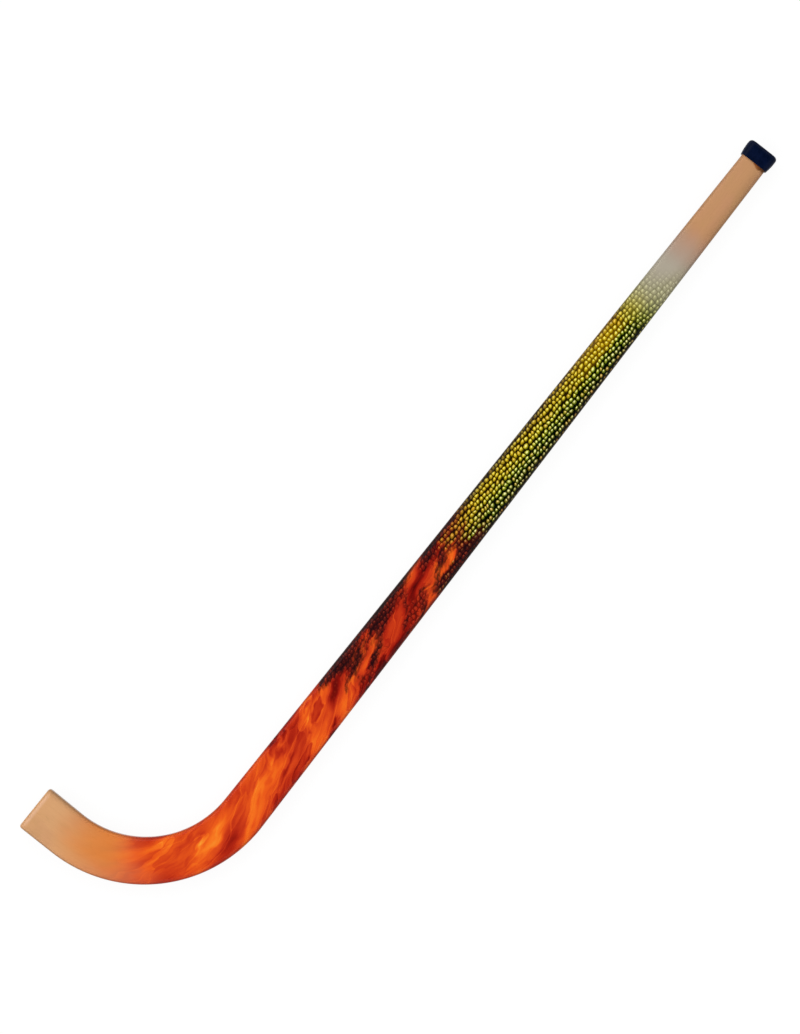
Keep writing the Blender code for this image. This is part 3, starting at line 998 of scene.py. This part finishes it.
def shade_edges(graph, colour):
    """A painted highlight on the toe's rounded end, and painted shade on the edges and sides, except on the
    toe's flat end.
    """
    # Painted highlight on the toe's rounded end
    toe_highlight = graph.step(graph.along, TOE_HIGHLIGHT_END_SPAN, 0.0, TOE_HIGHLIGHT_AMOUNT)
    toe_highlight = graph.times(toe_highlight, graph.step(graph.along, TOE_HIGHLIGHT_SPAN), graph.step(graph.outward, TOE_HIGHLIGHT_SIDE_SPAN))
    colour = graph.mix(toe_highlight, colour, TOE_HIGHLIGHT)

    # Painted shade on the rounded edges and sides
    begins_later = (SIDE_BEGINS_AT_HOOK - SIDE_BEGINS_AT_BUTT) / (SHAFT_LENGTH / MM)
    begins = graph.line(graph.along, begins_later, SIDE_BEGINS_AT_BUTT)
    side = graph.step(graph.outward, (begins, graph.plus(begins, SIDE_SOFTNESS)))
    side = graph.times(side, graph.step(graph.along, SIDE_SPAN, SIDE_AT_BUTT, SIDE_AT_SCALES))
    side = graph.times(side, graph.step(graph.along, SIDE_END_SPAN))
    colour = graph.mix(side, colour, PAINTED_SIDE_SHADE)

    # Painted shade on the outermost scales, darker towards the edges
    inner_later = graph.step(graph.share, BRIM_SIDE_SPAN, BRIM_LATER_AT_INNER, 0.0)
    brim = graph.step(graph.plus(graph.along, inner_later), BRIM_SPAN)
    brim = graph.times(brim, graph.step(graph.along, BRIM_END_SPAN))
    brim = graph.times(brim, graph.step(graph.outward, BRIM_OUTWARD_SPAN, 0.0, BRIM_AMOUNT))
    brim = graph.times(brim, graph.step(graph.outward, BRIM_DOWN_SPAN))
    return graph.mix(brim, colour, PAINTED_BRIM_SHADE)


# Brown, mottled darkening on the wood beside the cap's lip
LIP_PATCH_BROWN = (146, 84, 42)
LIP_PATCH_DARK = (88, 50, 18)
LIP_PATCH_DARK_SPAN = (0.2, 0.75)
LIP_PATCH_MOTTLE_SIZE = (3.0, 3.0, 3.0)
LIP_PATCH_MOTTLE = 3.4
LIP_PATCH_BEYOND_LIP = 0.6
LIP_PATCH_WIDENS_SPAN = (-0.2, 0.4)
LIP_PATCH_LEAST, LIP_PATCH_MOST = -1.4, 2.0
LIP_PATCH_SOFTNESS = 2.6
LIP_PATCH_AMOUNT = 0.95
LIP_PATCH_SIDE_SPAN = (-0.25, 0.05)


def brown_patch_by_cap(graph, colour):
    """A mottled brown darkening that widens and darkens towards the outer edge and is gone on the inner side.
    """
    mottle = graph.noise(graph.at, LIP_PATCH_MOTTLE_SIZE)
    reach = graph.line(mottle, LIP_PATCH_MOTTLE, CAP_LIP_AT / MM + LIP_PATCH_BEYOND_LIP)
    reach = graph.plus(reach, graph.step(graph.share, LIP_PATCH_WIDENS_SPAN, LIP_PATCH_LEAST, LIP_PATCH_MOST))
    lip_patch = graph.step(graph.along, (reach, graph.minus(reach, LIP_PATCH_SOFTNESS)), 0.0, LIP_PATCH_AMOUNT)
    lip_patch = graph.times(lip_patch, graph.step(graph.share, LIP_PATCH_SIDE_SPAN))
    tone = graph.mix(graph.step(graph.share, LIP_PATCH_DARK_SPAN), LIP_PATCH_BROWN, LIP_PATCH_DARK)
    return graph.mix(lip_patch, colour, tone)


# Lacquer
LACQUER_SPECULAR = 0.09
LACQUER_PATCH_SIZE = (40.0, 12.0, 12.0)
LACQUER_PATCH_SPAN = (0.3, 0.7)
LACQUER_SMOOTHEST, LACQUER_ROUGHEST = 0.22, 0.30
PEEL_SIZE = (1.6, 1.6, 1.6)
PEEL_HEIGHT = 0.5
GRAIN_HEIGHT = 0.35
LACQUER_BUMP = 0.10
LACQUER_BUMP_DEPTH = 0.3 * MM


def finish_lacquer(graph, colour, rings, pores, film):
    """Satin lacquer with a faint orange peel, and a touch of open grain where the wood is bare."""
    patches = graph.noise(graph.wood_at, LACQUER_PATCH_SIZE, detail=3.0)
    roughness = graph.step(patches, LACQUER_PATCH_SPAN, LACQUER_SMOOTHEST, LACQUER_ROUGHEST)
    graph.shade({"Base Color": colour, "Roughness": roughness, "Specular IOR Level": LACQUER_SPECULAR})
    peel = graph.times(graph.noise(graph.wood_at, PEEL_SIZE, detail=1.0), PEEL_HEIGHT)
    grain = graph.times(graph.plus(rings, pores), graph.minus(1.0, film), GRAIN_HEIGHT)
    graph.bump(graph.plus(peel, grain), LACQUER_BUMP, LACQUER_BUMP_DEPTH)


def coat_material():
    graph = CoatGraph(bpy.data.materials.new("printed lacquer over ash"))
    wood, rings, pores = wood_colour(graph)
    ragged = graph.noise(graph.at, RAGGED_SIZE, detail=3.0, roughness=0.6)
    ragged = graph.times(graph.centred(ragged), RAGGED_REACH)
    misty = graph.line(ragged, MIST_SHARE, graph.along)
    printed = print_colour(graph, ragged, misty)
    colour, film = fade_into_wood(graph, wood, printed, ragged, misty)
    colour = brown_patch_by_cap(graph, shade_edges(graph, colour))
    finish_lacquer(graph, colour, rings, pores, film)
    return graph.owner


# Navy cap
CAP_NAVY = (0, 9, 34)
CAP_CLOUD = (2, 14, 44)
CAP_SPECK = (14, 28, 62)
CLOUD_SIZE = (7.0, 7.0, 7.0)
CLOUD_SPAN = (0.3, 0.7)
SPECK_SIZE = (0.35, 0.35, 0.35)
SPECK_SPAN = (0.60, 0.75)
SPECK_AMOUNT = 0.2
CAP_SMOOTHEST, CAP_ROUGHEST = 0.34, 0.44
CAP_SPECULAR = 0.06
CAP_BUMP = 0.25
CAP_BUMP_DEPTH = 0.2 * MM


def cap_material():
    """Navy soft plastic with a fine moulded texture."""
    graph = Graph(bpy.data.materials.new("navy moulding"))
    at = graph.position_mm()
    cloud = graph.noise(at, CLOUD_SIZE, detail=3.0)
    speck = graph.noise(at, SPECK_SIZE)
    colour = graph.mix(graph.step(cloud, CLOUD_SPAN), CAP_NAVY, CAP_CLOUD)
    colour = graph.mix(graph.step(speck, SPECK_SPAN, 0.0, SPECK_AMOUNT), colour, CAP_SPECK)
    roughness = graph.step(cloud, CLOUD_SPAN, CAP_SMOOTHEST, CAP_ROUGHEST)
    graph.shade({"Base Color": colour, "Roughness": roughness, "Specular IOR Level": CAP_SPECULAR})
    graph.bump(speck, CAP_BUMP, CAP_BUMP_DEPTH)
    return graph.owner


# Strips under the coat
STRIP_SHIFT = 40.0
STRIP_RING_SPAN = (0.4, 0.75)
STRIP_RING_AMOUNT = 0.6
STRIP_PORE_AMOUNT = 0.4
STRIP_ROUGH_SPAN = (0.4, 0.7)
STRIP_SMOOTHEST, STRIP_ROUGHEST = 0.45, 0.6
STRIP_BUMP = 0.2
STRIP_BUMP_DEPTH = 0.1 * MM


def strip_material(name, number):
    """Plain ash with rings and pores along the shaft, each strip with its own figure."""
    graph = Graph(bpy.data.materials.new(name))
    shifted = graph.vector("ADD", graph.position_mm(), (0.0, 0.0, STRIP_SHIFT * number))
    rings, pores = ash_figure(graph, shifted)
    late = graph.step(rings, STRIP_RING_SPAN, 0.0, STRIP_RING_AMOUNT)
    colour = graph.mix(late, WOOD_AT_TOE, WOOD_LATE)
    colour = graph.mix(graph.step(pores, PORE_SPAN, 0.0, STRIP_PORE_AMOUNT), colour, WOOD_PORE)
    roughness = graph.step(pores, STRIP_ROUGH_SPAN, STRIP_SMOOTHEST, STRIP_ROUGHEST)
    graph.shade({"Base Color": colour, "Roughness": roughness})
    graph.bump(pores, STRIP_BUMP, STRIP_BUMP_DEPTH)
    return graph.owner


def finish_strips():
    for name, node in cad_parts.items():
        if name.startswith("lamella_"):
            node.data.materials.clear()
            node.data.materials.append(strip_material(f"ash of {name}", int(name[-2:])))


# Camera, in the photograph's directions

IMAGE_RIGHT = Vector((-math.cos(SHAFT_HEADING), -math.sin(SHAFT_HEADING), 0.0))
IMAGE_UP = Vector((math.sin(SHAFT_HEADING), -math.cos(SHAFT_HEADING), 0.0))


def image_centre():
    """The point of the front face's plane that is in the middle of the photograph."""
    right = (PHOTO_WIDTH / 2 - ANCHOR_PIXEL[0]) * MM_PER_PIXEL * MM
    up = (ANCHOR_PIXEL[1] - PHOTO_HEIGHT / 2) * MM_PER_PIXEL * MM
    return place(ANCHOR_ALONG, 0.0, HALF_THICKNESS) + IMAGE_RIGHT * right + IMAGE_UP * up


def add_camera():
    data = bpy.data.cameras.new("camera")
    data.sensor_fit = "HORIZONTAL"
    data.lens = data.sensor_width * CAMERA_DISTANCE / (PHOTO_WIDTH * MM_PER_PIXEL * MM)
    data.clip_end = CAMERA_REACH
    camera = bpy.data.objects.new("camera", data)
    bpy.context.scene.collection.objects.link(camera)
    at = image_centre() + Vector((0.0, 0.0, CAMERA_DISTANCE))
    camera.matrix_world = Matrix((
        (IMAGE_RIGHT.x, IMAGE_UP.x, 0.0, at.x),
        (IMAGE_RIGHT.y, IMAGE_UP.y, 0.0, at.y),
        (IMAGE_RIGHT.z, IMAGE_UP.z, 1.0, at.z),
        (0.0, 0.0, 0.0, 1.0),
    ))
    bpy.context.scene.camera = camera


# Studio

FLOOR_HALF = 6.0
FLOOR_CORNERS = ((-1, -1), (1, -1), (1, 1), (-1, 1))
FLOOR_GREY = (0.4, 0.4, 0.4, 1.0)
FLOOR_SHADED = (0.1, 0.1, 0.1, 1.0)
FLOOR_GLOW = 0.92
WHITE = (1.0, 1.0, 1.0, 1.0)

# Light by its height in the sky, from 0 at the horizon to 1 overhead
KEY_SIDE = (-0.25, 0.97, 0.0)
RING_STRENGTH = 1.83
RING_UNEVENNESS = 0.4
RING_FROM_SPAN = (0.2, 0.55)
RING_TO_SPAN = (0.93, 0.72)
HORIZON_SPAN = (0.2, 0.1)
LEAST_LIGHT = 0.02


def add_floor():
    """A pale floor that renders white where nothing shades it."""
    maker = bmesh.new()
    corners = [maker.verts.new((x * FLOOR_HALF, y * FLOOR_HALF, 0.0)) for x, y in FLOOR_CORNERS]
    maker.faces.new(corners)
    mesh = bpy.data.meshes.new("floor")
    maker.to_mesh(mesh)
    maker.free()
    floor = bpy.data.objects.new("floor", mesh)
    bpy.context.scene.collection.objects.link(floor)

    graph = Graph(bpy.data.materials.new("pale floor"))
    graph.nodes.remove(graph.shader)
    path = graph.add("ShaderNodeLightPath").outputs
    seen = graph.math("MAXIMUM", path["Is Camera Ray"], path["Is Glossy Ray"])
    seen = graph.math("MAXIMUM", seen, path["Is Transmission Ray"])
    plain = graph.add("ShaderNodeBsdfDiffuse", {"Color": FLOOR_GREY}).outputs[0]
    shaded = graph.add("ShaderNodeBsdfDiffuse", {"Color": FLOOR_SHADED}).outputs[0]
    glow = graph.add("ShaderNodeEmission", {"Color": WHITE, "Strength": FLOOR_GLOW}).outputs[0]
    white = graph.add("ShaderNodeAddShader", {0: shaded, 1: glow}).outputs[0]
    surface = graph.add("ShaderNodeMixShader", {0: seen, 1: plain, 2: white}).outputs[0]
    graph.put(graph.nodes["Material Output"].inputs["Surface"], surface)
    mesh.materials.append(graph.owner)


def add_world():
    """A white horizon and a broad ring of soft light above it, brighter on the side that the toe points to
    and dark straight overhead.
    """
    graph = Graph(bpy.data.worlds.new("studio"), "Background")
    bpy.context.scene.world = graph.owner
    direction = graph.add("ShaderNodeTexCoord").outputs["Generated"]
    height = graph.split(direction)[2]
    towards_key = graph.vector("DOT_PRODUCT", direction, KEY_SIDE)
    ring = graph.times(graph.step(height, RING_FROM_SPAN), graph.step(height, RING_TO_SPAN))
    ring = graph.times(ring, graph.line(towards_key, RING_UNEVENNESS, 1.0))
    horizon = graph.step(height, HORIZON_SPAN, LEAST_LIGHT, 1.0)
    graph.shade({"Color": WHITE, "Strength": graph.line(ring, RING_STRENGTH, horizon)})


def main():
    new_piece("coat", coat_mesh(), coat_material(), "printed_face", "front_skin", "back_skin")
    new_piece("moulded_cap", cap_mesh(), cap_material(), "cap", "butt_cap")
    finish_strips()
    add_camera()
    add_world()
    add_floor()
    bpy.context.scene.view_settings.view_transform = "Standard"


main()
